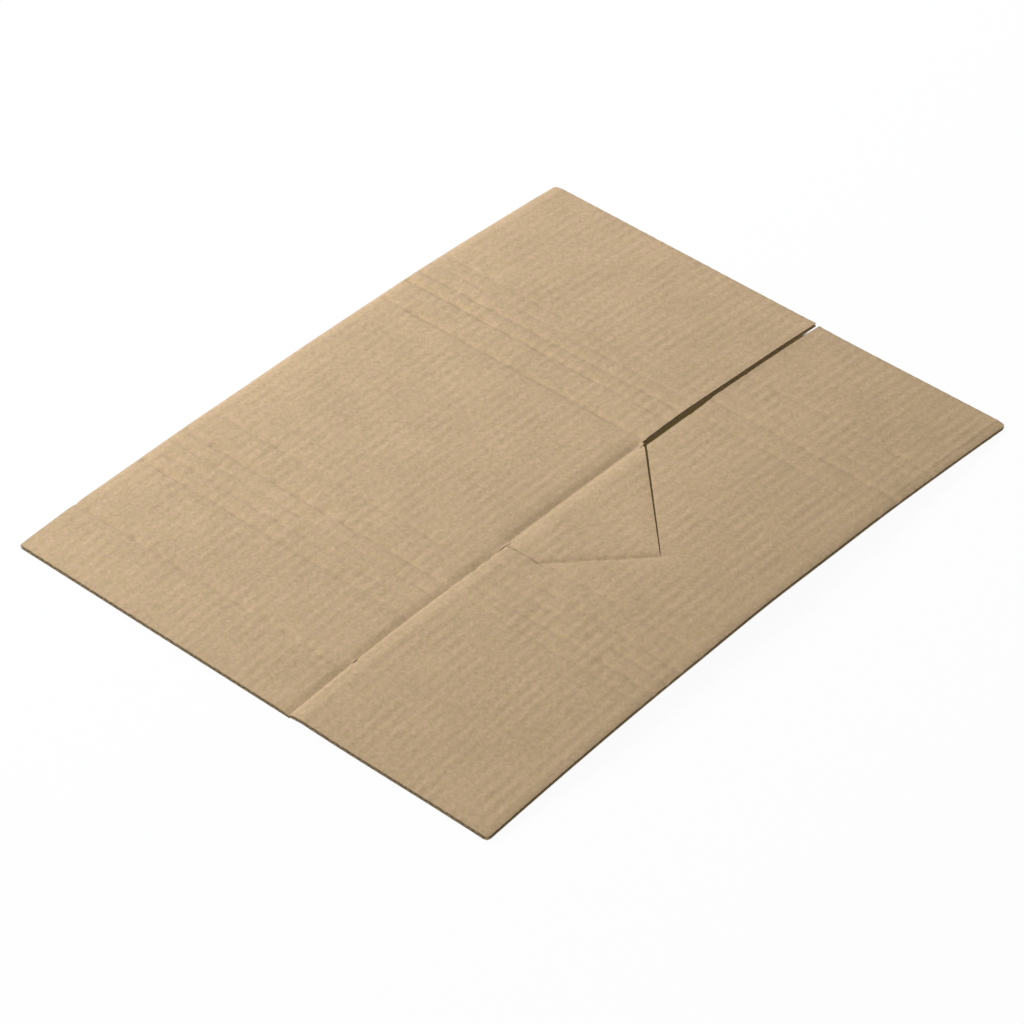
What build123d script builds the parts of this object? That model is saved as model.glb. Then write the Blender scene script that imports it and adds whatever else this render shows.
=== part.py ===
from build123d import *
from math import floor, radians, sin, tan
import os

# A cross-wrap mailer lying flat: one die-cut sheet of single-wall corrugated board.
# +X runs along the flutes, +Y across them, +Z up. The sheet bows up in the middle and
# rests on its two short edges. It is flat between its bends, most of which are on fold
# lines. The origin is on the table under the middle of the sheet.

# The sheet
blank_length = 400.0
blank_width = 310.0
bow_rise = 6.8
worn_corner = 2.4

# The board: two liners with a fluted medium glued between them
board_thickness = 2.5
liner_thickness = 0.35
medium_thickness = 0.25
flute_pitch = 6.5
flute_shift = -0.85
flank_angle = 44.0
crest_angle = 22.0
crest_flat = 0.6

# The cut that parts the wide wrap strip (+Y side) from the narrow cross strip (-Y side)
cross_strip_width = 123.5
knife_kerf = 0.4
nick_width = 1.6
nick_from_left_edge = 44.8
slot_width = 3.2
slot_from_right_edge = 142.0

# The tab: it hinges to the wrap strip on the parting line and to the cross strip on a
# crease at half a right angle, so that the cross strip folds over square to the wrap
tab_root_from_left_edge = 152.3
tab_depth = 64.0
tab_crease_angle = 45.0
tab_side_overcut = 3.0
tab_mouth_gap = 1.0

# Scores for goods of several heights, the same on both sides of a panel. The first fold lies
# base_half from the panel's middle, and each list holds the distances from there outwards.
wrap_panel_centre = -5.5
wrap_base_half = 64.0
wrap_height_steps = (20.0, 30.0, 40.0, 50.0)
wrap_light_step = 10.0
cross_panel_centre = 25.0
cross_base_half = 70.0
cross_height_steps = (15.0, 25.0, 35.0, 44.5)
score_width = 2.4
wrap_score_depth = 0.22
cross_score_depth = 0.12
light_score_depth = 0.08

# Creases of the tab
crease_width = 1.8
crease_depth = 0.2

# Bend that the sheet got from handling
handling_bend_from_left_edge = 35.5

# Space past the sheet for the tools that cut it
clear = 10.0

# Worked out from the sizes above
half_length = blank_length / 2
half_width = blank_width / 2
left_edge = -half_length
parting_line = cross_strip_width - half_width
through_height = bow_rise + board_thickness + 2 * clear

tab_root = left_edge + tab_root_from_left_edge
tab_tip = (wrap_panel_centre, parting_line - tab_depth)
crease_run = tab_tip[0] - tab_root
crease_start = (tab_root, tab_tip[1] + crease_run * tan(radians(tab_crease_angle)))
slot_end = half_length - slot_from_right_edge
slot_near_side = parting_line - slot_width / 2
nick_left = left_edge + nick_from_left_edge - nick_width / 2
nick_right = nick_left + nick_width
side_cut_length = parting_line + knife_kerf / 2 - crease_start[1] + tab_side_overcut

# Bends of the bow: the ends of the sheet, its middle, the handling bend, and the first and
# the last height fold of the wrap strip on both sides
outer_fold = wrap_base_half + wrap_height_steps[-1]
bends = (
    left_edge,
    left_edge + handling_bend_from_left_edge,
    wrap_panel_centre - outer_fold,
    wrap_panel_centre - wrap_base_half,
    0.0,
    wrap_panel_centre + wrap_base_half,
    wrap_panel_centre + outer_fold,
    half_length,
)


def bend_height(x):
    """Height of the lower face above the table at a bend: the bends lie on a parabola."""
    return bow_rise * (1 - (x / half_length) ** 2)


def lower_height(x):
    """Height of the lower face above the table at the place x, straight between bends."""
    left = max((bend for bend in bends[:-1] if bend <= x), default=left_edge)
    right = bends[bends.index(left) + 1]
    share = (x - left) / (right - left)
    return bend_height(left) + share * (bend_height(right) - bend_height(left))


def bow_line(start, end):
    """Points of the lower face from start to end along the sheet, with each bend between."""
    inner = [bend for bend in bends[1:-1] if start < bend < end]
    return [Vector(x, 0, lower_height(x)) for x in (start, *inner, end)]


def square_to(points):
    """Plane across the start of a line: local x is Y, local y is up from the lower face."""
    return Plane(origin=points[0], x_dir=(0, 1, 0), z_dir=points[1] - points[0])


# Hollows of the flutes, one below and one above the medium in each pitch. The section of a
# hollow stands with its wide side on a liner, and its crest is eased by a slope on each side.
hollow_height = board_thickness - 2 * liner_thickness - medium_thickness
flank_slope = tan(radians(flank_angle))
crest_slope = tan(radians(crest_angle))
flank_run = (hollow_height + medium_thickness) / flank_slope
hollow_half = (flute_pitch / 2 + flank_run - medium_thickness / sin(radians(flank_angle))) / 2
crest_half = crest_flat / 2
eased_rise = hollow_height - (hollow_half - crest_half) * crest_slope
shoulder_height = eased_rise / (1 - crest_slope / flank_slope)
shoulder_half = hollow_half - shoulder_height / flank_slope
flute_count = floor(half_width / flute_pitch) + 1
lower_hollows = [
    (i * flute_pitch + flute_shift, liner_thickness)
    for i in range(-flute_count, flute_count + 1)
]
upper_hollows = [
    ((i + 0.5) * flute_pitch + flute_shift, board_thickness - liner_thickness)
    for i in range(-flute_count - 1, flute_count + 1)
]


def hollow_profile(turn):
    """Section of one hollow, with the middle of its wide side at the place it is drawn."""
    right = [(hollow_half, 0), (shoulder_half, shoulder_height), (crest_half, hollow_height)]
    left = [(-half, height) for half, height in reversed(right)]
    Polygon(*right, *left, rotation=turn, align=None, mode=Mode.SUBTRACT)


def groove_profile(width, depth):
    """Shallow V of a pressed line, drawn with its mouth on the upper face and open there."""
    Polygon((-width / 2, 0), (0, -depth), (width / 2, 0), (0, depth), align=None)


# Straight lines pressed into the upper face: start, end, width and depth
pressed_lines = [(crease_start, tab_tip, crease_width, crease_depth)]

# Height scores of the wrap strip, from the parting line past the far edge
for side in (-1, 1):
    for step in (0.0, wrap_light_step) + wrap_height_steps:
        place = wrap_panel_centre + side * (wrap_base_half + step)
        depth = light_score_depth if step == wrap_light_step else wrap_score_depth
        start = (place, parting_line + slot_width / 2)
        pressed_lines.append((start, (place, half_width + clear), score_width, depth))

# Height scores of the cross strip; one that would cross the tab starts below it
for side in (-1, 1):
    for step in (0.0,) + cross_height_steps:
        place = cross_panel_centre + side * (cross_base_half + step)
        end = slot_near_side
        if tab_root < place < slot_end:
            end = crease_start[1] - tab_side_overcut
        start = (place, -half_width - clear)
        pressed_lines.append((start, (place, end), score_width, cross_score_depth))

with BuildPart() as pressed_grooves:
    # Height scores and the slanted crease of the tab
    for start, end, width, depth in pressed_lines:
        mouth = [Vector(x, y, lower_height(x) + board_thickness) for x, y in (start, end)]
        along = mouth[1] - mouth[0]
        level = Vector(along.X, along.Y, 0)
        with BuildSketch(Plane(origin=mouth[0], x_dir=level.cross(Vector(0, 0, 1)), z_dir=level)):
            groove_profile(width, depth)
        extrude(amount=along.length, dir=along)

    # Crease between the tab and the wrap strip, along the flutes
    hinge_line = bow_line(tab_root, slot_end)
    with BuildLine():
        Polyline(*hinge_line)
    with BuildSketch(square_to(hinge_line)):
        with Locations((parting_line, board_thickness)):
            groove_profile(crease_width, crease_depth)
    sweep(transition=Transition.RIGHT)

with BuildPart() as carton_blank:
    # The bowed sheet, fluted from end to end
    sheet_line = bow_line(left_edge - clear, half_length + clear)
    with BuildLine():
        Polyline(*sheet_line)
    with BuildSketch(square_to(sheet_line)):
        with Locations((0, board_thickness / 2)):
            Rectangle(blank_width, board_thickness)
        with Locations(*lower_hollows):
            hollow_profile(0)
        with Locations(*upper_hollows):
            hollow_profile(180)
    sweep(transition=Transition.RIGHT)

    # Die-cut outline, its two near corners blunted by wear
    with BuildSketch(Plane.XY.offset(-clear)):
        corner = ((0, worn_corner), (worn_corner / 4, worn_corner / 4), (worn_corner, 0))
        near_left = [(inset - half_length, up - half_width) for inset, up in corner]
        near_right = [(half_length - inset, up - half_width) for inset, up in reversed(corner)]
        far_corners = [(half_length, half_width), (-half_length, half_width)]
        Polygon(*near_left, *near_right, *far_corners, align=None)
    extrude(amount=through_height, mode=Mode.INTERSECT)

    # Knife cuts and the slot, right through the board
    with BuildSketch(Plane.XY.offset(-clear)):
        # Slot between the strips, out through the right edge
        with Locations((slot_end, parting_line)):
            Rectangle(half_length - slot_end + clear, slot_width, align=(Align.MIN, Align.CENTER))
        # Parting cut from the left edge to the tab, left uncut at the nick
        with Locations((left_edge - clear, parting_line)):
            Rectangle(nick_left - left_edge + clear, knife_kerf, align=(Align.MIN, Align.CENTER))
        with Locations((nick_right, parting_line)):
            Rectangle(tab_root - nick_right, knife_kerf, align=(Align.MIN, Align.CENTER))
        # Side of the tab, cut a little past the slanted crease
        with Locations((tab_root, parting_line + knife_kerf / 2)):
            Rectangle(knife_kerf, side_cut_length, align=(Align.CENTER, Align.MAX))
        # Slanted edge of the tab, widening from its tip to the slot
        Polygon(
            (tab_tip[0], tab_tip[1] - knife_kerf / 2),
            (slot_end, slot_near_side - tab_mouth_gap / 2),
            (slot_end, parting_line),
            (slot_end - tab_mouth_gap, parting_line),
            (slot_end - tab_mouth_gap, slot_near_side),
            (tab_tip[0] - knife_kerf, tab_tip[1]),
            align=None,
        )
    extrude(amount=through_height, mode=Mode.SUBTRACT)

    # Folds pressed into the upper face
    add(pressed_grooves.part, mode=Mode.SUBTRACT)

carton_blank.part.label = "carton_blank"

os.makedirs("parts", exist_ok=True)
export_step(carton_blank.part, "parts/carton_blank.step")
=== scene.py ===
"""A cross-wrap mailer lying flat: one die-cut sheet of single-wall corrugated board.

+X runs along the flutes, +Y across them and +Z up. The board's sizes are in millimetres, and a
mesh is made metres when its points go into Blender. The studio and the grain of the paper are
in metres. The board is drawn as it is made: two liners with a waved medium between them, cut
and creased into a wrap strip, a cross strip and a tab.
"""

import logging
from dataclasses import dataclass
from enum import Enum
from math import radians, tau

import bpy
import numpy as np
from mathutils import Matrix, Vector


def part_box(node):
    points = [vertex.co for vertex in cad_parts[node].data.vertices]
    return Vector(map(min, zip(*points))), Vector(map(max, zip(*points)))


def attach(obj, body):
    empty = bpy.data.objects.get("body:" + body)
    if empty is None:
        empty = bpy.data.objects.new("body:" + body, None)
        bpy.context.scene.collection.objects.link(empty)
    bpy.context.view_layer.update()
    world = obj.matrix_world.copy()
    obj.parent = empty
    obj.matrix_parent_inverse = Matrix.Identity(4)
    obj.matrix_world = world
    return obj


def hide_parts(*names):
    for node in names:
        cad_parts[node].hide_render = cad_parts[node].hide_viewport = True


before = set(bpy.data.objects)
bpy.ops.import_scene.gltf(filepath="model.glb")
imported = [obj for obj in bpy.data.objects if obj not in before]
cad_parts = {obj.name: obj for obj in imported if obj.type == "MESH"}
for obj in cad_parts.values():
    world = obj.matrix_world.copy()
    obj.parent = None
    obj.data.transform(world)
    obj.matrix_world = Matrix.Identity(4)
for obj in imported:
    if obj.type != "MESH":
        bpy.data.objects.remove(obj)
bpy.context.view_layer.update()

MM = 0.001
NODE = "carton_blank"
BODY = "root"
# Point attribute: painted shade on the cut ends of the flutes, and darker on the slot's crushed
# shoulder
SHADE_AND_SHOULDER = "shade_and_shoulder"
GRID_DECIMALS = 5
STEP_SLACK = 1e-6
ON_SLANT = 1e-4
ORIGIN = (0.0, 0.0, 0.0)
WHITE = (1.0, 1.0, 1.0, 1.0)
WHOLE = (0.0, 1.0)

Floats = tuple[float, ...]
Span = tuple[float, float]
Triple = tuple[float, float, float]
Array = np.ndarray
Places = tuple[Array, Array]
Socket = bpy.types.NodeSocket

log = logging.getLogger("cross_wrap_mailer")


class Panel(Enum):
    """The three panels that the cuts and creases part the sheet into."""

    WRAP = "wrap_strip"
    CROSS = "cross_strip"
    TAB = "tab"


class Layer(Enum):
    """The three papers that the board is glued up from."""

    UPPER_LINER = "upper_liner"
    MEDIUM = "fluted_medium"
    LOWER_LINER = "lower_liner"


def lines_between(stops: Floats, step: float) -> Array:
    """Grid lines through every stop, with even spaces of at most a step between two stops.

    Args:
        stops: places that have to be grid lines, in any order.
        step: the widest space allowed.

    Returns:
        The places of the lines, rising.
    """
    ends = np.unique(np.round(stops, GRID_DECIMALS))
    counts = np.maximum(1, np.ceil(np.diff(ends) / step - STEP_SLACK)).astype(int)
    runs = [np.linspace(a, b, n, endpoint=False) for a, b, n in zip(ends, ends[1:], counts)]
    return np.append(np.concatenate(runs), ends[-1])


def bump(distance: Array, width: float) -> Array:
    """Bell curve: e to the power of minus the square of distance over width."""
    return np.exp(-((distance / width) ** 2))


def ramp(value: Array, start: float, end: float) -> Array:
    """Smooth step: 3 t squared minus 2 t cubed, with t going from 0 at start to 1 at end."""
    t = np.clip((value - start) / (end - start), 0, 1)
    return t * t * (3 - 2 * t)


def ramp_at(value: Array, place: float, span: Span) -> Array:
    """Smooth step whose start and end are given as distances from a place."""
    return ramp(value, place + span[0], place + span[1])


@dataclass(frozen=True)
class Fade:
    """Height that fades with the distance from an edge, over a reach."""

    height: float
    reach: float

    def at(self, distance: Array) -> Array:
        """Height times e to the minus distance over reach."""
        return self.height * np.exp(-distance / self.reach)


@dataclass(frozen=True)
class Drift:
    """Slow unevenness of a sheet: a few sine waves of random length, heading and phase."""

    seed: int
    shortest: float
    longest: float
    count: int = 9

    def at(self, x: Array, y: Array) -> Array:
        """Sum of sin(kx x + ky y + phase) over the waves, scaled to a spread of about one.

        Args:
            x, y: places on the sheet.

        Returns:
            The unevenness at each place.
        """
        rng = np.random.default_rng(self.seed)
        length = rng.uniform(self.shortest, self.longest, self.count)
        heading = rng.uniform(0, tau, self.count)
        phase = rng.uniform(0, tau, self.count)
        along = np.multiply.outer(x, tau / length * np.cos(heading))
        across = np.multiply.outer(y, tau / length * np.sin(heading))
        return np.sin(along + across + phase).sum(-1) * np.sqrt(2 / self.count)


@dataclass(frozen=True)
class Blank:
    """Outline, cuts and fold lines of the flat sheet. Its overall size comes from the frame."""

    half_length: float
    half_width: float
    cross_strip_width: float = 123.5
    knife_kerf: float = 0.4
    nick_from_left_edge: float = 44.8
    nick_width: float = 1.6
    slot_width: float = 3.2
    slot_from_right_edge: float = 142.0
    tab_root_from_left_edge: float = 152.3
    tab_depth: float = 64.0
    tab_side_overcut: float = 3.0
    tab_mouth_gap: float = 1.0
    wrap_centre: float = -5.5
    wrap_base_half: float = 64.0
    wrap_height_steps: Floats = (20.0, 30.0, 40.0, 50.0)
    wrap_light_step: float = 10.0
    cross_centre: float = 25.0
    cross_base_half: float = 70.0
    cross_height_steps: Floats = (15.0, 25.0, 35.0, 44.5)
    handling_bend_from_left_edge: float = 35.5
    worn_corner: float = 2.4
    corner_cut_back: float = 0.6

    @property
    def parting_line(self) -> float:
        """Line between the strips, measured from the middle of the sheet."""
        return self.cross_strip_width - self.half_width

    @property
    def wrap_strip_width(self) -> float:
        """Width of the wrap strip, from the parting line to the far edge."""
        return self.half_width - self.parting_line

    @property
    def kerf_half(self) -> float:
        """Half of the width that the knife leaves open."""
        return self.knife_kerf / 2

    @property
    def slot_end(self) -> float:
        """Inner end of the slot."""
        return self.half_length - self.slot_from_right_edge

    @property
    def nick(self) -> Span:
        """Both ends of the uncut bridge in the parting cut."""
        left = self.nick_from_left_edge - self.nick_width / 2 - self.half_length
        return left, left + self.nick_width

    @property
    def beside_nick(self) -> Span:
        """Places a nick's width away from both ends of the bridge."""
        return self.nick[0] - self.nick_width, self.nick[1] + self.nick_width

    @property
    def tab_root(self) -> float:
        """Cut along the side of the tab."""
        return self.tab_root_from_left_edge - self.half_length

    @property
    def tip(self) -> Span:
        """Point of the tab, where its slanted crease and its slanted cut meet."""
        return self.wrap_centre, self.parting_line - self.tab_depth

    @property
    def side_cut_end(self) -> float:
        """Lower end of the cut along the side of the tab, a little past the slanted crease."""
        return self.tip[1] + self.tip[0] - self.tab_root - self.tab_side_overcut

    @property
    def handling_bend(self) -> float:
        """Bend that the sheet got from handling."""
        return self.handling_bend_from_left_edge - self.half_length

    @property
    def wrap_scores(self) -> Floats:
        """Deep height scores across the wrap strip, on both sides of its panel."""
        steps = (0.0, *self.wrap_height_steps)
        return self.both_sides(self.wrap_centre, self.wrap_base_half, steps)

    @property
    def wrap_light_scores(self) -> Floats:
        """The light score on each side of the wrap panel."""
        return self.both_sides(self.wrap_centre, self.wrap_base_half, (self.wrap_light_step,))

    @property
    def cross_scores(self) -> Floats:
        """Height scores across the cross strip, on both sides of its panel."""
        steps = (0.0, *self.cross_height_steps)
        return self.both_sides(self.cross_centre, self.cross_base_half, steps)

    @staticmethod
    def both_sides(centre: float, half: float, steps: Floats) -> Floats:
        """Places that lie a step outside a panel's two ends.

        Args:
            centre: middle of the panel.
            half: half of its length.
            steps: distances from its ends outwards.

        Returns:
            The places on the left, outwards, and then those on the right.
        """
        return tuple(centre + side * (half + step) for side in (-1, 1) for step in steps)

    def at_nick(self, x: Array) -> Array:
        """Whether places along the flutes are at the uncut bridge."""
        return (x > self.nick[0]) & (x < self.nick[1])


@dataclass(frozen=True)
class Relief:
    """What folding, cutting and wear did to the upper face.

    A reach or a width is the distance over which a height fades. A span is the start and the
    end of a smooth step. The shares of the scores are in the order of the scores in Blank.
    """

    # Washboard of the flutes
    washboard: float = 0.06
    washboard_change: float = 0.45
    washboard_drift: Drift = Drift(5, 14, 60)

    # Height scores, and the bend from handling
    score_change: float = 0.3
    score_drift: Drift = Drift(11, 12, 50)
    score_depth: float = 0.6
    score_width: float = 1.8
    score_shift: float = 2.2
    wrap_score_shares: Floats = (1.0, 1.4, 0.9, 0.95, 1.4, 1.7, 1.55, 1.0, 0.65, 0.8)
    near_score_share: float = 0.75
    far_score_gain: float = 0.5
    far_score_span: Span = (-1.0, 4.0)
    slot_score_loss: float = 0.7
    slot_score_start: Span = (-3.0, 3.0)
    slot_score_span: Span = (-7.0, -1.6)
    light_score_depth: float = 0.12
    light_score_width: float = 2.4
    cross_score_depth: float = 0.36
    cross_score_shift: float = -0.9
    cross_score_shares: Floats = (1.1, 1.7, 1.3, 1.6, 1.3, 1.0, 1.35, 0.55, 0.6, 0.95)
    below_tab_span: Span = (0.0, 6.0)
    handling_depth: float = 0.6
    handling_width: float = 1.5

    # Crease between the tab and the wrap strip
    hinge_valley: float = 1.55
    hinge_place: float = 1.6
    hinge_end_span: Span = (-1.0, 3.0)
    hinge_tab_reach: float = 6.8
    hinge_straight_share: float = 0.77
    hinge_lip_share: float = 0.23
    hinge_lip_reach: float = 1.2
    hinge_wrap_reach: float = 3.8
    hinge_wrap_power: float = 1.45

    # Slanted crease between the tab and the cross strip
    crease_valley: float = 1.3
    crease_place: float = 0.5745
    crease_cross_reach: float = 3.2
    crease_tab_reach: float = 1.7
    crease_tip_span: Span = (-6.0, 2.0)
    crease_root_span: Span = (-6.0, 1.0)

    # Edges beside the parting cut and the slanted cut
    parting_span: Span = (-1.0, 12.0)
    parting_lift: float = 1.65
    parting_lift_reach: float = 45.0
    parting_fall: float = 1.1
    parting_fall_reach: float = 6.5
    parting_dip: float = 1.05
    parting_dip_reach: float = 8.0
    nick_span: Span = (0.7, 2.6)
    nick_hold_reach: float = 3.0
    slant_root_span: Span = (0.0, 18.0)
    slant_tip_span: Span = (0.0, 30.0)
    slant_drop: Fade = Fade(0.25, 4.0)
    slant_hang: Fade = Fade(0.7, 5.0)

    # Edges beside the slot
    slot_lift_places: Floats = (58.0, 63.0, 72.0, 92.0, 114.0, 127.0, 200.0)
    slot_lifts: Floats = (0.0, 0.5, 0.7, 1.0, 0.6, 0.3, 0.3)
    slot_lift_reach: float = 12.0
    slot_cross_lift: float = 0.7
    slot_cross_lift_reach: float = 8.0
    slot_crush: float = 0.55
    slot_crush_width: float = 1.4
    slot_crush_start: Span = (-1.0, 2.0)
    slot_crush_end: Span = (102.0, 110.0)

    # Worn rims
    far_rounding: Fade = Fade(1.6, 2.3)
    far_rounding_span: Span = (-230.0, -60.0)
    far_curve: Fade = Fade(0.5, 9.0)
    far_curve_span: Span = (0.0, 60.0)
    near_rounding: Fade = Fade(0.5, 1.3)
    near_crush: float = 0.3
    near_crush_edge: Span = (-5.2, -4.2)
    near_crush_span: Span = (60.0, 150.0)
    near_opening: Fade = Fade(0.4, 3.0)
    end_rounding: Fade = Fade(0.22, 0.8)
    # Reach of the painted shade on the cut ends of the flutes
    end_shade_reach: float = 0.3
    rim_rounding: Fade = Fade(0.8, 1.4)
    rim_span: Span = (-1.0, 3.0)


@dataclass(frozen=True)
class Board:
    """Section of the board, and how the sheet bows, is pressed and has been let go by its cuts."""

    blank: Blank
    relief: Relief = Relief()
    thickness: float = 2.5
    liner: float = 0.35
    medium: float = 0.25
    pitch: float = 6.5
    flute_shift: float = -0.85
    near_rise: float = 8.3
    far_rise: float = 6.8
    far_power: float = 2.6
    cross_crown: float = 1.8
    wave_height: float = 0.14
    waves: Drift = Drift(3, 60, 190)
    handling_rise: float = 0.4
    handling_fade: float = 25.0
    handling_end_power: float = 0.2
    left_end_from: float = 150.0
    right_end_from: float = 110.0
    wrap_left_growth: float = 0.95
    wrap_right_growth: float = 1.5
    wrap_right_near_share: float = 0.5
    wrap_right_far_gain: float = 1.2
    cross_left_growth: float = 0.9
    cross_left_span: Span = (-130.0, -40.0)
    cross_right_cut_back: float = 0.35
    cut_drift: float = 1.4
    cut_drift_span: Span = (45.0, 150.0)
    cut_drift_reach: float = 15.0

    def laid(self, panel: Panel, x: Array, y: Array) -> Places:
        """Places with the strips' ends a little out of line and the parting cut a little askew.

        Args:
            panel: which panel.
            x, y: places on the sheet.

        Returns:
            The moved places.
        """
        blank = self.blank
        left = ramp(-x, self.left_end_from, blank.half_length)
        right = ramp(x, self.right_end_from, blank.half_length)
        away = y - blank.parting_line
        askew = self.cut_drift * ramp(-x, *self.cut_drift_span)
        askew *= np.exp(-np.abs(away) / self.cut_drift_reach)
        if panel is Panel.WRAP:
            share = away / blank.wrap_strip_width
            slant = self.wrap_right_near_share + self.wrap_right_far_gain * share
            growth = self.wrap_right_growth * slant * right
            return x - self.wrap_left_growth * left + growth, y + askew
        growth = self.cross_left_growth * left * ramp(y, *self.cross_left_span)
        return x - growth - self.cross_right_cut_back * right, y + askew

    def bow(self, x: Array, y: Array) -> Array:
        """Height of the bowed sheet's lower face above the table.

        The near edge is a parabola, rise times (1 - s squared) with s from -1 to 1 along the
        sheet. The far edge is flatter in the middle, rise times (1 - s to the power 2.6). The
        sheet runs straight from one edge to the other, but the cross strip is arched across
        its width by half a sine wave. A small ridge stands on the handling bend, and fades
        from the far edge to the near one. A slow wave runs over all of it.

        Args:
            x, y: places on the sheet.

        Returns:
            The heights.
        """
        blank = self.blank
        s = np.clip(x / blank.half_length, -1, 1)
        far_share = (y + blank.half_width) / (2 * blank.half_width)
        arch = 1 - s**2
        near = self.near_rise * arch
        far = self.far_rise * (1 - np.abs(s) ** self.far_power)
        past = x - blank.handling_bend
        before = 1 + past / blank.handling_bend_from_left_edge
        ridge = np.where(past < 0, before, np.exp(-past / self.handling_fade))
        ridge = self.handling_rise * ridge * far_share * arch**self.handling_end_power
        wave = self.wave_height * self.waves.at(x, y) * arch
        across = np.clip((y + blank.half_width) / blank.cross_strip_width, 0, 1)
        crown = self.cross_crown * np.sin(np.pi * across) * arch
        return near + (far - near) * far_share + crown + ridge + wave

    def let_go(self, panel: Panel, x: Array, y: Array) -> Array:
        """How far a panel's edge stands up or hangs down beside the cuts that freed it.

        Beside the parting cut the cross strip stands up, as e to the minus distance, slopes
        down again in the last millimetres, and is held down at the nick. The wrap strip dips
        there as 1 minus a sine of the distance, but not at the nick. Beside the slot the wrap
        strip stands up by an amount that changes along it, and the cross strip beyond its
        crushed shoulder. Beside the slanted cut the tab and the cross strip hang down. These
        three fade as e to the minus distance.

        Args:
            panel: which panel.
            x, y: places on the sheet.

        Returns:
            The height to add.
        """
        blank, relief = self.blank, self.relief
        unheld = ramp(np.abs(x - sum(blank.nick) / 2), *relief.nick_span)
        beside_cut = ramp(blank.tab_root - x, *relief.parting_span)
        free = unheld * beside_cut
        away = y - blank.parting_line
        if panel is Panel.WRAP:
            share = np.clip(away / relief.parting_dip_reach, 0, 1)
            dip = -relief.parting_dip * free * (1 - np.sin(np.pi / 2 * share))
            lift = np.interp(x, relief.slot_lift_places, relief.slot_lifts)
            return dip + lift * np.exp(-np.maximum(away, 0) / relief.slot_lift_reach)
        u, v = x - blank.tip[0], y - blank.tip[1]
        from_slant = np.abs(u - v) / np.sqrt(2)
        beside_slant = ramp(u, *relief.slant_tip_span) * (u < blank.tab_depth)
        beside_slant *= ramp(blank.tab_depth - v, *relief.slant_root_span)
        if panel is Panel.TAB:
            return -relief.slant_hang.at(from_slant) * beside_slant
        fall = relief.parting_fall * np.clip(1 + away / relief.parting_fall_reach, 0, 1)
        held_down = (1 - unheld) * np.exp(away / relief.nick_hold_reach)
        rise = np.exp(away / relief.parting_lift_reach) - held_down
        beyond_crush = ramp(x, *relief.slot_crush_end)
        slot_rise = beyond_crush * np.exp(away / relief.slot_cross_lift_reach)
        up = relief.parting_lift * beside_cut * rise - free * fall
        up += relief.slot_cross_lift * slot_rise
        return up - relief.slant_drop.at(from_slant) * beside_slant

    def pressed(self, panel: Panel, x: Array, y: Array) -> Array:
        """Relief of the upper face: scores, creases, worn rims and the washboard.

        Each score is a bell-shaped groove. On the wrap strip it gets deeper towards the far
        edge, and fades at that edge and beside the slot. On the cross strip a score that would
        cross the tab starts below it. The washboard is a cosine of the flute pitch, whose
        height changes slowly over the sheet.

        Args:
            panel: which panel.
            x, y: places on the sheet.

        Returns:
            The height to add to the upper face.
        """
        blank, relief = self.blank, self.relief
        uneven = 1 + relief.score_change * relief.score_drift.at(x, y)
        height = relief.washboard * np.cos(tau * (y - self.flute_shift) / self.pitch)
        height *= 1 + relief.washboard_change * relief.washboard_drift.at(x, y)
        if panel is Panel.WRAP:
            handled = x - (blank.handling_bend + relief.score_shift)
            height -= relief.handling_depth * uneven * bump(handled, relief.handling_width)
            away = y - blank.parting_line
            by_slot = ramp_at(x, blank.slot_end, relief.slot_score_start)
            lost = relief.slot_score_loss * by_slot * ramp(-away, *relief.slot_score_span)
            deeper = relief.near_score_share + relief.far_score_gain * away / blank.wrap_strip_width
            deeper = deeper * ramp(blank.half_width - y, *relief.far_score_span) * (1 - lost)
            for place, share in zip(blank.wrap_scores, relief.wrap_score_shares):
                groove = bump(x - place - relief.score_shift, relief.score_width)
                height -= relief.score_depth * share * deeper * uneven * groove
            for place in blank.wrap_light_scores:
                groove = bump(x - place - relief.score_shift, relief.light_score_width)
                height -= relief.light_score_depth * uneven * groove
        elif panel is Panel.CROSS:
            for place, share in zip(blank.cross_scores, relief.cross_score_shares):
                kept = 1.0
                if blank.tab_root < place < blank.slot_end:
                    kept = ramp_at(-y, -blank.side_cut_end, relief.below_tab_span)
                groove = bump(x - place - relief.cross_score_shift, relief.score_width)
                height -= relief.cross_score_depth * share * kept * uneven * groove
        return height + self.creases(x, y) + self.worn(panel, x, y)

    def creases(self, x: Array, y: Array) -> Array:
        """Relief of the tab's two creases.

        The crease on the parting line is a wide valley with a sharp bottom. Its tab side rises
        straight, and more steeply in the last millimetre. Its wrap side is e to the minus 1.45th
        power of the distance. The slanted crease is e to the minus distance, with a longer
        reach on the cross strip's side.

        Args:
            x, y: places on the sheet.

        Returns:
            The height to add.
        """
        blank, relief = self.blank, self.relief
        ends = ramp_at(x, blank.tab_root, relief.hinge_end_span)
        ends *= ramp_at(-x, -blank.slot_end, relief.hinge_end_span)
        past = y - blank.parting_line - relief.hinge_place
        straight = np.clip(1 + past / relief.hinge_tab_reach, 0, 1)
        lip = np.exp(-np.abs(past) / relief.hinge_lip_reach)
        tab_side = relief.hinge_straight_share * straight + relief.hinge_lip_share * lip
        distance = np.maximum(past, 0) / relief.hinge_wrap_reach
        wrap_side = np.exp(-(distance**relief.hinge_wrap_power))
        hinge = np.where(past < 0, tab_side, wrap_side)
        u, v = x - blank.tip[0], y - blank.tip[1]
        past = (u + v) / np.sqrt(2) - relief.crease_place
        reach = np.where(past < 0, relief.crease_cross_reach, relief.crease_tab_reach)
        along = ramp(-u, *relief.crease_tip_span)
        along *= ramp_at(x, blank.tab_root, relief.crease_root_span)
        slanted = np.exp(-np.abs(past) / reach) * along
        return -relief.hinge_valley * ends * hinge - relief.crease_valley * slanted

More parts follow.
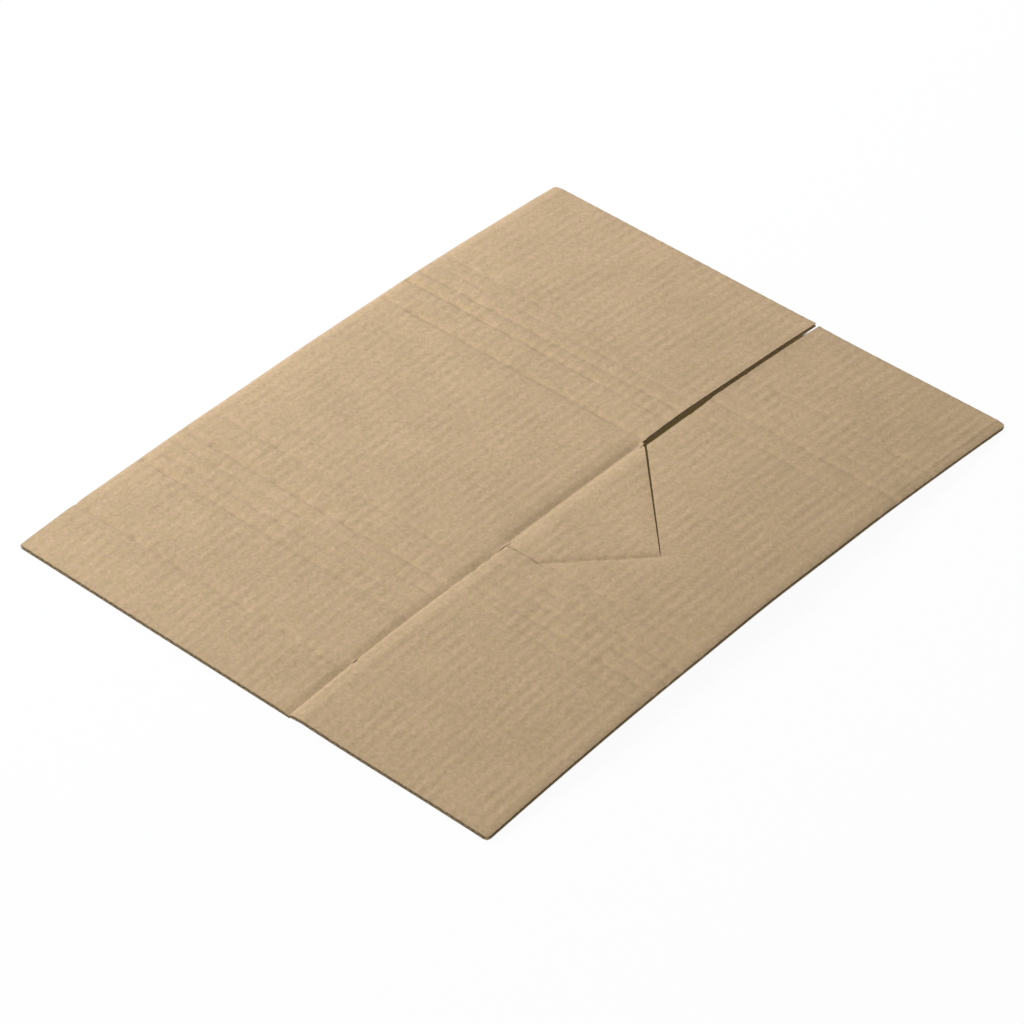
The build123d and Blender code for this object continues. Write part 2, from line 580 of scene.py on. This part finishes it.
    def worn(self, panel: Panel, x: Array, y: Array) -> Array:
        """Drop of the upper face at the rims, most of it as e to the minus distance.

        The near edge is also crushed flat by the same amount over part of its length, and the
        cross strip's shoulder beside the slot by a bell curve.

        Args:
            panel: which panel.
            x, y: places on the sheet.

        Returns:
            The height to add.
        """
        blank, relief = self.blank, self.relief
        from_far, from_near = blank.half_width - y, np.maximum(y + blank.half_width, 0)
        from_end = np.maximum(blank.half_length - np.abs(x), 0)
        drop = relief.far_rounding.at(from_far) * ramp(x, *relief.far_rounding_span)
        drop += relief.far_curve.at(from_far) * ramp(from_end, *relief.far_curve_span)
        drop += relief.near_rounding.at(from_near)
        crush = relief.near_crush * ramp(-from_near, *relief.near_crush_edge)
        drop += crush * ramp(x, *relief.near_crush_span)
        drop += relief.end_rounding.at(from_end)
        if panel is Panel.CROSS:
            inside = np.maximum(blank.parting_line - y, 0)
            by_cut = ramp(blank.tab_root - x, *relief.rim_span)
            drop += relief.rim_rounding.at(inside) * by_cut
            drop += relief.slot_crush * self.shoulder(x, y)
        return -drop

    def shoulder(self, x: Array, y: Array) -> Array:
        """Crushed shoulder of the cross strip beside the slot: a bell curve of the distance.

        Args:
            x, y: places on the sheet.

        Returns:
            1 on the shoulder, fading to 0 away from it.
        """
        blank, relief = self.blank, self.relief
        along = ramp_at(x, blank.slot_end, relief.slot_crush_start)
        along *= 1 - ramp(x, *relief.slot_crush_end)
        inside = np.maximum(blank.parting_line - y, 0) - blank.slot_width / 2
        return along * bump(np.maximum(inside, 0), relief.slot_crush_width)

    def shade_and_shoulder(self, panel: Panel, x: Array, y: Array) -> Array:
        """How dark the paper is painted: painted shade on the cut ends of the flutes, and darker on
        the crushed shoulder beside the slot.

        Args:
            panel: which panel.
            x, y: places on the sheet.

        Returns:
            1 on the crushed shoulder of the slot and on the cut ends of the flutes, fading to 0
            away from them.
        """
        from_end = np.maximum(self.blank.half_length - np.abs(x), 0)
        shoulder = self.shoulder(x, y) * (panel is Panel.CROSS)
        return np.maximum(shoulder, np.exp(-from_end / self.relief.end_shade_reach))

    def faces(self, layer: Layer, panel: Panel, x: Array, y: Array) -> Places:
        """Heights of the upper and lower face of one layer.

        The liners keep their thickness. The medium is a cosine across the flutes that touches
        both liners: its middle is halfway between them, and its thickness upright is the
        paper's own times the root of (1 + slope squared). The lower liner stays on or above
        the table, and hangs a little open at the near edge.

        Args:
            layer: which paper.
            panel: which panel.
            x, y: places on the sheet.

        Returns:
            The upper heights and the lower heights.
        """
        free = self.bow(x, y) + self.let_go(panel, x, y)
        top = free + self.thickness + self.pressed(panel, x, y)
        if layer is Layer.UPPER_LINER:
            return top, top - self.liner
        from_near = np.maximum(y + self.blank.half_width, 0)
        floor = np.maximum(free - self.relief.near_opening.at(from_near), 0)
        if layer is Layer.LOWER_LINER:
            return floor + self.liner, floor
        low, high = floor + self.liner, top - self.liner
        turn = tau * (y - self.flute_shift) / self.pitch
        swing = np.maximum(high - low - self.medium, 0) / 2
        slope = swing * tau / self.pitch * np.sin(turn)
        middle = (low + high) / 2 + swing * np.cos(turn)
        half = self.medium / 2 * np.sqrt(1 + slope**2)
        return middle + half, middle - half


@dataclass(frozen=True)
class Patch:
    """Cells of a grid that make up one panel, seen from above: places, quads and triangles."""

    x: Array
    y: Array
    quads: Array
    triangles: Array


@dataclass(frozen=True)
class PanelCutter:
    """Lays a grid on the sheet and keeps the cells of each panel."""

    blank: Blank
    relief: Relief
    pitch: float
    samples_per_pitch: int = 8
    long_step: float = 4.0
    coarse_step: float = 10.0
    score_lines: Floats = (-3.2, -2.2, -1.4, -0.7, 0.0, 0.7, 1.4, 2.2, 3.2)
    rim_lines: Floats = (0.4, 0.9, 1.6, 2.5, 4.0)
    cut_lines: Floats = (0.7, 1.1, 2.2, 3.0)
    mouth_lines: Floats = (0.5, 1.0)
    beside_tip: float = 3.0
    tab_cut_back: Triple = (0.0, 0.5, 0.7)
    cross_cut_back: Floats = (0.0, 0.4, 1.0, 0.0)
    cut_back_reach: float = 6.0

    @property
    def fine(self) -> float:
        """Spacing of the grid across the flutes."""
        return self.pitch / self.samples_per_pitch

    def step(self, scored: bool) -> float:
        """Widest spacing of the grid along the flutes."""
        return self.long_step if scored else self.coarse_step

    def around(self, scores: Floats, shift: float) -> Floats:
        """Grid lines close together on both sides of each score, shifted from its place."""
        return tuple(score + shift + offset for score in scores for offset in self.score_lines)

    def grid(self, x_lines: Array, y_lines: Array) -> tuple[Array, ...]:
        """Points and cells of a grid.

        Args:
            x_lines: places of the lines that run across the flutes.
            y_lines: places of the lines that run along the flutes.

        Returns:
            The points' x and y, the corner indices of each cell anticlockwise from its lower
            left corner as [column, row, corner], and the cells' middles as two arrays.
        """
        x, y = np.meshgrid(x_lines, y_lines, indexing="ij")
        index = np.arange(x.size).reshape(x.shape)
        cells = np.stack([index[:-1, :-1], index[1:, :-1], index[1:, 1:], index[:-1, 1:]], axis=-1)
        middles = [(lines[1:] + lines[:-1]) / 2 for lines in (x_lines, y_lines)]
        return x.ravel(), y.ravel(), cells, *np.meshgrid(*middles, indexing="ij")

    def wrap(self, scored: bool) -> Patch:
        """Cells of the wrap strip.

        Args:
            scored: whether the grid is close at the scores.

        Returns:
            The patch, down to the parting line at the nick and the tab, and else to the cut.
        """
        blank = self.blank
        line, kerf = blank.parting_line, blank.kerf_half
        slot_side = line + blank.slot_width / 2
        hinge_start, mouth = blank.tab_root + kerf, blank.slot_end - blank.tab_mouth_gap
        stops = (-blank.half_length, blank.handling_bend, hinge_start, mouth, blank.slot_end)
        stops += (blank.half_length, *blank.nick, *blank.beside_nick)
        if scored:
            scores = blank.wrap_scores + blank.wrap_light_scores + (blank.handling_bend,)
            stops += self.around(scores, self.relief.score_shift)
        for rim in self.rim_lines:
            stops += (rim - blank.half_length, blank.half_length - rim)
        x_lines = lines_between(stops, self.step(scored))
        near_cut = (line, line + kerf, slot_side, *(line + away for away in self.cut_lines))
        far_rim = (blank.half_width, *(blank.half_width - rim for rim in self.rim_lines))
        y_lines = lines_between(near_cut + far_rim, self.fine)

        x, y, cells, mid_x, mid_y = self.grid(x_lines, y_lines)
        beside_cut = (mid_x < blank.slot_end) & (mid_y > line + kerf)
        hinge = (mid_x > hinge_start) & (mid_x < mouth)
        keep = (mid_y > slot_side) | beside_cut | hinge | blank.at_nick(mid_x)
        return Patch(x, y, cells[keep], np.empty((0, 3), int))

    def lower_panels(self, scored: bool) -> dict[Panel, Patch]:
        """Cells of the cross strip and the tab, from one grid that both share.

        The grid's lines stand at the same distances d from the tip of the tab both ways, so
        the slanted crease and the slanted cut go through the corners of the cells on them,
        and each such cell is halved. The points beside the slanted cut are drawn apart from
        it afterwards, less and less with their distance.

        Args:
            scored: whether the grid is close at the scores.

        Returns:
            The patch of each of the two panels.
        """
        blank = self.blank
        tip_x, tip_y = blank.tip
        kerf = blank.kerf_half
        root = tip_x - blank.tab_root
        mouth = blank.tab_depth - blank.slot_width / 2
        overcut = root - blank.tab_side_overcut
        cut_top = blank.tab_depth - kerf
        shared = lines_between((0.0, overcut, root - kerf, root + kerf, mouth), self.fine)

        corner, left_of_tab = blank.worn_corner, tip_x - root - kerf
        left = (-blank.half_length, corner - blank.half_length, *blank.nick, left_of_tab)
        left += blank.beside_nick
        right = (blank.half_length, blank.half_length - corner, tip_x + mouth, blank.slot_end)
        if scored:
            close = np.array(self.around(blank.cross_scores, self.relief.cross_score_shift))
            left += tuple(close[close < left_of_tab])
            right += tuple(close[close > blank.slot_end])
        left += tuple(rim - blank.half_length for rim in self.rim_lines)
        right += tuple(blank.half_length - rim for rim in self.rim_lines)
        beside_tab = [lines_between(stops, self.step(scored)) for stops in (left, right)]
        in_tab = [tip_x - shared[shared <= root + kerf], tip_x + shared]
        near_rim = tuple(rim - blank.half_width for rim in self.rim_lines)
        below = lines_between((-blank.half_width, *near_rim, tip_y), self.fine)
        mouth_lines = [mouth + away for away in self.mouth_lines]
        above = tip_y + np.array([*mouth_lines, cut_top, blank.tab_depth])
        x_lines, y_lines = (
            np.unique(np.round(np.concatenate(lines), GRID_DECIMALS))
            for lines in ([*beside_tab, *in_tab], [below, tip_y + shared, above])
        )

        x, y, cells, mid_x, mid_y = self.grid(x_lines, y_lines)
        u, v = mid_x - tip_x, mid_y - tip_y
        across_tab = (u > kerf - root) & (u < mouth)
        halved = across_tab & (np.abs(np.abs(u) - v) < ON_SLANT)
        tab = across_tab & (v > np.abs(u)) & ~halved
        side_cut = (u > -root - kerf) & (u < kerf - root) & (v >= overcut)
        beside = np.where(u < -root - kerf, v < cut_top, v < mouth) | blank.at_nick(mid_x)
        cross = np.where(across_tab, v < np.abs(u), beside) & ~side_cut & ~halved

        a, b, c, d = np.moveaxis(cells, -1, 0)
        on_cut, on_crease = halved & (u > 0), halved & (u < 0)
        tab_halves = [np.stack([a, c, d], -1)[on_cut], np.stack([b, c, d], -1)[on_crease]]
        cross_halves = [np.stack([a, b, c], -1)[on_cut], np.stack([a, b, d], -1)[on_crease]]

        u, v = x - tip_x, y - tip_y
        places = (0, self.beside_tip, mouth, blank.slot_end - tip_x)
        tab_back = np.interp(u, places[:3], self.tab_cut_back)
        tab_back *= np.clip(1 - (v - u) / self.cut_back_reach, 0, 1)
        cross_back = np.interp(u, places, self.cross_cut_back)
        cross_back *= np.clip(1 - (u - v) / self.cut_back_reach, 0, 1)
        cross_x, cross_y = self.wear_corners(x, y - cross_back)
        return {
            Panel.TAB: Patch(x - tab_back, y, cells[tab], np.concatenate(tab_halves)),
            Panel.CROSS: Patch(cross_x, cross_y, cells[cross], np.concatenate(cross_halves)),
        }

    def wear_corners(self, x: Array, y: Array) -> Places:
        """Blunts the two near corners of the sheet.

        A point at a and b from the two edges of a corner moves in by the same amount both
        ways: the cut-back times 1 minus the larger of a and b over the worn length.

        Args:
            x, y: places on the sheet.

        Returns:
            The moved places.
        """
        blank = self.blank
        from_end = blank.half_length - np.abs(x)
        from_near = y + blank.half_width
        reach = np.clip(1 - np.maximum(from_end, from_near) / blank.worn_corner, 0, 1)
        inwards = blank.corner_cut_back * reach
        return x - np.sign(x) * inwards, y + inwards


@dataclass(frozen=True)
class Grain:
    """Fractal noise: grains a metre, octaves, and a factor on the axis along the flutes."""

    scale: float
    detail: float
    along: float = 1.0


@dataclass(frozen=True)
class Wiring:
    """Adds nodes to one node tree and links them up."""

    tree: bpy.types.NodeTree

    def math(self, operation: str, *values: Socket) -> Socket:
        """A sum done on one or two values.

        Args:
            operation: Blender's name of the sum.
            values: what it is done on.

        Returns:
            The result.
        """
        node = self.tree.nodes.new("ShaderNodeMath")
        node.operation = operation
        for value, socket in zip(values, node.inputs):
            self.tree.links.new(value, socket)
        return node.outputs["Value"]

    def remapped(self, value: Socket, source: Span, target: Span) -> Socket:
        """A value moved straight from one span to another and held at its ends.

        Args:
            value: what to move.
            source: the span that the value comes from.
            target: the span that it goes to.

        Returns:
            The moved value.
        """
        spread = self.tree.nodes.new("ShaderNodeMapRange")
        names = ("From Min", "From Max", "To Min", "To Max")
        for name, number in zip(names, source + target):
            spread.inputs[name].default_value = number
        self.tree.links.new(value, spread.inputs["Value"])
        return spread.outputs["Result"]

    def noise(self, place: Socket, grain: Grain) -> Socket:
        """Fractal noise, from 0 to 1, drawn out along the flutes where its factor is small.

        Args:
            place: the coordinates.
            grain: the kind of noise.

        Returns:
            The noise.
        """
        mapping = self.tree.nodes.new("ShaderNodeMapping")
        mapping.inputs["Scale"].default_value = (grain.along, 1.0, 1.0)
        texture = self.tree.nodes.new("ShaderNodeTexNoise")
        texture.inputs["Scale"].default_value = grain.scale
        texture.inputs["Detail"].default_value = grain.detail
        self.tree.links.new(place, mapping.inputs["Vector"])
        self.tree.links.new(mapping.outputs["Vector"], texture.inputs["Vector"])
        return texture.outputs["Fac"]

    def mixed(self, kind: str, *inputs: Socket | float | Floats) -> Socket:
        """Weighted mean of two values or tints.

        Args:
            kind: FLOAT or RGBA.
            inputs: share of the second, the first and the second, each a link or set here.

        Returns:
            The mean.
        """
        mix = self.tree.nodes.new("ShaderNodeMix")
        mix.data_type = kind
        for name, value in zip(("Factor", "A", "B"), inputs):
            if isinstance(value, Socket):
                self.tree.links.new(value, mix.inputs[name])
            else:
                mix.inputs[name].default_value = value
        return mix.outputs["Result"]


@dataclass(frozen=True)
class KraftFinish:
    """Unbleached kraft paper: its tints, its mottling and fibres, and how rough it is."""

    name: str
    tint: Triple
    second_tint: Triple
    shade: float
    fleck: float
    roughness: float
    # Paint level where the attribute is 1: painted shade on the flute ends, darker on the slot's
    # crushed shoulder
    shade_and_shoulder_level: float = 0.84
    specular: float = 0.2
    clouds: Grain = Grain(45.0, 2.0)
    blotches: Grain = Grain(480.0, 2.5)
    fibres: Grain = Grain(1250.0, 2.0, 0.8)
    hues: Grain = Grain(430.0, 2.0, 0.8)
    cloud_share: float = 0.2
    fibre_share: float = 0.45
    shade_span: Span = (0.25, 0.75)
    hue_span: Span = (0.38, 0.62)
    flecks_per_metre: float = 190.0
    fleck_span: Span = (0.025, 0.075)
    felt_strength: float = 0.5
    felt_height: float = 0.00008

    def material(self) -> bpy.types.Material:
        """Paper with blotches of two tints, short fibres, scattered flecks and a felt-like surface.

        Returns:
            The material.
        """
        material = bpy.data.materials.new(self.name)
        material.use_nodes = True
        tree = material.node_tree
        wiring = Wiring(tree)
        shader = tree.nodes["Principled BSDF"]
        shader.inputs["Roughness"].default_value = self.roughness
        shader.inputs["Specular IOR Level"].default_value = self.specular
        place = tree.nodes.new("ShaderNodeTexCoord").outputs["Object"]

        grains = (self.clouds, self.blotches, self.fibres, self.hues)
        clouds, blotches, fibres, hue = (wiring.noise(place, grain) for grain in grains)
        tone = wiring.mixed("FLOAT", self.fibre_share, blotches, fibres)
        level = wiring.mixed("FLOAT", self.cloud_share, tone, clouds)
        shades = wiring.remapped(level, self.shade_span, (1 - self.shade, 1 + self.shade))

        flecks = tree.nodes.new("ShaderNodeTexVoronoi")
        flecks.inputs["Scale"].default_value = self.flecks_per_metre
        tree.links.new(place, flecks.inputs["Vector"])
        spots = wiring.remapped(flecks.outputs["Distance"], self.fleck_span, (1 - self.fleck, 1.0))

        # Painted shade on the cut ends of the flutes, and darker on the slot's crushed shoulder;
        # worn below carries it
        shade_and_shoulder = tree.nodes.new("ShaderNodeAttribute")
        shade_and_shoulder.attribute_name = SHADE_AND_SHOULDER
        worn = wiring.remapped(shade_and_shoulder.outputs["Fac"], WHOLE, (1.0, self.shade_and_shoulder_level))

        share = wiring.remapped(hue, self.hue_span, WHOLE)
        tint = wiring.mixed("RGBA", share, (*self.tint, 1.0), (*self.second_tint, 1.0))
        value = wiring.math("MULTIPLY", wiring.math("MULTIPLY", shades, spots), worn)
        paint = tree.nodes.new("ShaderNodeHueSaturation")
        tree.links.new(tint, paint.inputs["Color"])
        tree.links.new(value, paint.inputs["Value"])
        tree.links.new(paint.outputs["Color"], shader.inputs["Base Color"])

        felt = tree.nodes.new("ShaderNodeBump")
        felt.inputs["Strength"].default_value = self.felt_strength
        felt.inputs["Distance"].default_value = self.felt_height
        tree.links.new(fibres, felt.inputs["Height"])
        tree.links.new(felt.outputs["Normal"], shader.inputs["Normal"])
        return material


@dataclass(frozen=True)
class CorrugatedBoard:
    """The whole sheet: builds every layer of every panel and dresses it."""

    board: Board
    cutter: PanelCutter
    face_finish: KraftFinish
    # Cut walls of the liners: kraft painted lighter than the face, painted light on walls facing
    # away from the lamps
    lightened_edge_finish: KraftFinish
    medium_finish: KraftFinish
    sharp_angle: float = 40.0

    def build(self) -> list[bpy.types.Object]:
        """Makes the pieces, one for each layer of each panel.

        Returns:
            The pieces.
        """
        finishes = (self.face_finish, self.lightened_edge_finish, self.medium_finish)
        face, edge, medium = (finish.material() for finish in finishes)
        pieces = []
        for layer in Layer:
            scored = layer is not Layer.LOWER_LINER
            patches = {Panel.WRAP: self.cutter.wrap(scored), **self.cutter.lower_panels(scored)}
            materials = (medium, medium) if layer is Layer.MEDIUM else (face, edge)
            for panel, patch in patches.items():
                pieces.append(self.piece(layer, panel, patch, materials))
        return pieces

    def piece(
        self, layer: Layer, panel: Panel, patch: Patch, materials: tuple[bpy.types.Material, ...]
    ) -> bpy.types.Object:
        """One closed sheet: the patch at its upper and at its lower height, with walls between.

        Args:
            layer: which paper.
            panel: which panel.
            patch: the panel's cells.
            materials: the finish of the faces and of the cut walls.

        Returns:
            The piece, riding on the body, with the CAD node hidden.
        """
        used = np.unique(np.concatenate([patch.quads.ravel(), patch.triangles.ravel()]))
        renumber = np.zeros(patch.x.size, int)
        renumber[used] = np.arange(used.size)
        quads, triangles = renumber[patch.quads], renumber[patch.triangles]
        x, y = patch.x[used], patch.y[used]
        heights = np.concatenate(self.board.faces(layer, panel, x, y))
        out_x, out_y = self.board.laid(panel, x, y)
        points = np.stack([np.tile(out_x, 2), np.tile(out_y, 2), heights], axis=-1) * MM

        under = used.size
        walls = self.walls(quads, triangles, under)
        four = np.concatenate([quads, quads[:, ::-1] + under, walls])
        three = np.concatenate([triangles, triangles[:, ::-1] + under])
        finish_of_four = np.repeat([0, 0, 1], [len(quads), len(quads), len(walls)])
        finish = np.concatenate([finish_of_four, np.zeros(len(three), int)])

        mesh = bpy.data.meshes.new(f"{panel.value}_{layer.value}")
        mesh.vertices.add(len(points))
        mesh.vertices.foreach_set("co", points.ravel())
        corners = np.concatenate([four.ravel(), three.ravel()])
        starts = [4 * np.arange(len(four)), four.size + 3 * np.arange(len(three))]
        mesh.loops.add(len(corners))
        mesh.polygons.add(len(finish))
        mesh.polygons.foreach_set("loop_start", np.concatenate(starts))
        mesh.loops.foreach_set("vertex_index", corners)
        mesh.polygons.foreach_set("material_index", finish)
        mesh.update(calc_edges=True)
        mesh.validate()
        # Painted shade on the cut ends of the flutes, and darker on the slot's crushed shoulder
        shade_and_shoulder = mesh.attributes.new(SHADE_AND_SHOULDER, "FLOAT", "POINT")
        shade_and_shoulder.data.foreach_set("value", np.tile(self.board.shade_and_shoulder(panel, x, y), 2))
        mesh.shade_smooth()
        mesh.set_sharp_from_angle(angle=radians(self.sharp_angle))
        for material in materials:
            mesh.materials.append(material)

        piece = bpy.data.objects.new(mesh.name, mesh)
        bpy.context.scene.collection.objects.link(piece)
        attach(piece, BODY)
        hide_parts(NODE)
        log.info("%s: %d faces", piece.name, len(mesh.polygons))
        return piece

    @staticmethod
    def walls(quads: Array, triangles: Array, under: int) -> Array:
        """Quads that close a sheet all round.

        An edge of the upper face whose opposite edge belongs to no cell is on the rim. Its
        wall goes from the edge's start down, along the lower face and up to its end.

        Args:
            quads: cells of four corners.
            triangles: cells of three corners.
            under: what to add to a corner's index for the point below it.

        Returns:
            The wall quads.
        """
        loops = [np.stack([cells, np.roll(cells, -1, axis=1)], -1) for cells in (quads, triangles)]
        edges = np.concatenate([loop.reshape(-1, 2) for loop in loops])
        there, back = edges @ [under, 1], edges @ [1, under]
        start, end = edges[~np.isin(there, back)].T
        return np.stack([start, start + under, end + under, end], axis=-1)


@dataclass(frozen=True)
class Studio:
    """Plain pale floor, white surroundings, a large soft lamp, a soft side light and the camera."""

    floor_size: float = 8.0
    floor_tint: Triple = (0.9, 0.9, 0.9)
    floor_glow_share: float = 0.95
    # Painted shade: a dark brown glow on the floor in a rectangle under the sheet
    painted_shade_tint: Triple = (0.095, 0.064, 0.02)
    painted_shade_x: Span = (0.190, 0.196)
    painted_shade_y: Span = (0.135, 0.143)
    lamp_place: Triple = (0.0, 0.62, 0.52)
    lamp_length: float = 2.0
    lamp_width: float = 0.5
    lamp_power: float = 9.5
    lamp_tint: Triple = (0.96, 0.985, 1.1)
    side_light_from: Triple = (-0.86, 0.72, 0.65)
    side_light_spread: float = 20.0
    side_light_strength: float = 1.22
    side_light_tint: Triple = (1.03, 1.0, 0.9)
    surroundings: float = 0.3
    eye: Triple = (-1.2064, -1.0621, 1.3625)
    look_at: Triple = (-0.0184, -0.0093, 0.0)
    sensor: float = 36.0
    focal_pixels: float = 4169.0
    image_pixels: float = 1024.0

    def build(self) -> None:
        """Sets up the floor, the world, the lights and the camera."""
        self.floor()
        self.world()
        self.lamp()
        self.side_light()
        self.camera()
        bpy.context.scene.view_settings.view_transform = "Standard"

    @staticmethod
    def seen(wiring: Wiring) -> Socket:
        """1 for a ray from the camera, a reflection or through glass, and 0 for light.

        Args:
            wiring: where the nodes go.

        Returns:
            The value.
        """
        path = wiring.tree.nodes.new("ShaderNodeLightPath")
        socket = path.outputs["Is Camera Ray"]
        for name in ("Is Glossy Ray", "Is Transmission Ray"):
            socket = wiring.math("MAXIMUM", socket, path.outputs[name])
        return socket

    def floor(self) -> None:
        """Square floor at height 0: mostly white glow where it is seen, with the object's shadow.

        Under the sheet a rectangle of it glows dark brown instead of white: painted shade of the
        board above it.
        """
        half = self.floor_size / 2
        mesh = bpy.data.meshes.new("floor")
        corners = [(-half, -half, 0), (half, -half, 0), (half, half, 0), (-half, half, 0)]
        mesh.from_pydata(corners, [], [(0, 1, 2, 3)])
        floor = bpy.data.objects.new("floor", mesh)
        bpy.context.scene.collection.objects.link(floor)
        material = bpy.data.materials.new("pale_floor")
        material.use_nodes = True
        tree = material.node_tree
        tree.nodes.clear()
        wiring = Wiring(tree)
        paint = tree.nodes.new("ShaderNodeBsdfDiffuse")
        paint.inputs["Color"].default_value = (*self.floor_tint, 1.0)
        glow = tree.nodes.new("ShaderNodeEmission")
        glow.inputs["Strength"].default_value = 1.0
        place = tree.nodes.new("ShaderNodeSeparateXYZ")
        coordinates = tree.nodes.new("ShaderNodeTexCoord")
        tree.links.new(coordinates.outputs["Object"], place.inputs["Vector"])
        # Painted shade: the glow turns dark brown in a rectangle under the sheet
        beyond_painted_shade = [
            wiring.remapped(wiring.math("ABSOLUTE", place.outputs[axis]), span, WHOLE)
            for axis, span in (("X", self.painted_shade_x), ("Y", self.painted_shade_y))
        ]
        outside_painted_shade = wiring.math("MAXIMUM", *beyond_painted_shade)
        tint = wiring.mixed("RGBA", outside_painted_shade, (*self.painted_shade_tint, 1.0), WHITE)
        tree.links.new(tint, glow.inputs["Color"])
        mix = tree.nodes.new("ShaderNodeMixShader")
        output = tree.nodes.new("ShaderNodeOutputMaterial")
        share = wiring.remapped(self.seen(wiring), WHOLE, (0.0, self.floor_glow_share))
        tree.links.new(share, mix.inputs["Fac"])
        tree.links.new(paint.outputs["BSDF"], mix.inputs[1])
        tree.links.new(glow.outputs["Emission"], mix.inputs[2])
        tree.links.new(mix.outputs["Shader"], output.inputs["Surface"])
        mesh.materials.append(material)

    def world(self) -> None:
        """Even surroundings: white where they are seen, and a soft fill for the object."""
        world = bpy.data.worlds.new("white_surroundings")
        bpy.context.scene.world = world
        world.use_nodes = True
        wiring = Wiring(world.node_tree)
        background = wiring.tree.nodes["Background"]
        background.inputs["Color"].default_value = WHITE
        strength = wiring.remapped(self.seen(wiring), WHOLE, (self.surroundings, 1.0))
        wiring.tree.links.new(strength, background.inputs["Strength"])

    def lamp(self) -> None:
        """A long soft lamp beyond the far edge of the sheet, along it."""
        light = bpy.data.lights.new("soft_lamp", "AREA")
        light.shape = "RECTANGLE"
        light.size = self.lamp_length
        light.size_y = self.lamp_width
        light.energy = self.lamp_power
        light.color = self.lamp_tint
        self.aimed(light, self.lamp_place, ORIGIN)

    def side_light(self) -> None:
        """Soft light from low on the left, the same all over the sheet."""
        light = bpy.data.lights.new("side_light", "SUN")
        light.angle = radians(self.side_light_spread)
        light.energy = self.side_light_strength
        light.color = self.side_light_tint
        self.aimed(light, ORIGIN, -Vector(self.side_light_from))

    def camera(self) -> None:
        """Long lens at the photograph's viewing angle."""
        lens = bpy.data.cameras.new("camera")
        lens.sensor_width = self.sensor
        lens.lens = self.focal_pixels / self.image_pixels * self.sensor
        bpy.context.scene.camera = self.aimed(lens, self.eye, self.look_at)

    @staticmethod
    def aimed(data: bpy.types.ID, place: Triple, target: Triple | Vector) -> bpy.types.Object:
        """Puts a lamp or a camera in the scene, upright and pointing at a target.

        Args:
            data: the lamp's or the camera's own settings.
            place: where it stands.
            target: what it points at.

        Returns:
            Its object, which has the same name.
        """
        thing = bpy.data.objects.new(data.name, data)
        thing.location = place
        direction = Vector(target) - Vector(place)
        thing.rotation_euler = direction.to_track_quat("-Z", "Y").to_euler()
        bpy.context.scene.collection.objects.link(thing)
        return thing


def main() -> None:
    """Builds the mailer and the studio."""
    logging.basicConfig(level=logging.INFO, format="%(name)s: %(message)s")
    low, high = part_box(NODE)
    blank = Blank(half_length=(high.x - low.x) / 2 / MM, half_width=(high.y - low.y) / 2 / MM)
    board = Board(blank)
    sheet = CorrugatedBoard(
        board=board,
        cutter=PanelCutter(blank, board.relief, board.pitch),
        face_finish=KraftFinish(
            "kraft_face", (0.52, 0.366, 0.224), (0.481, 0.356, 0.195),
            shade=0.24, fleck=0.4, roughness=0.82,
        ),
        # Painted light: the liners' cut walls are painted lighter than the face, to lift walls that
        # the lamps barely reach
        lightened_edge_finish=KraftFinish(
            "kraft_cut_edge_painted_light", (0.62, 0.48, 0.3), (0.54, 0.42, 0.25),
            shade=0.3, fleck=0.05, roughness=0.9, shade_and_shoulder_level=0.3,
        ),
        medium_finish=KraftFinish(
            "kraft_medium", (0.52, 0.4, 0.23), (0.46, 0.35, 0.2),
            shade=0.25, fleck=0.08, roughness=0.9, shade_and_shoulder_level=0.3,
        ),
    )
    pieces = sheet.build()
    log.info("board: %d pieces", len(pieces))
    Studio().build()
    log.info("studio: floor, surroundings, lamp and camera")


if __name__ == "__main__":
    main()
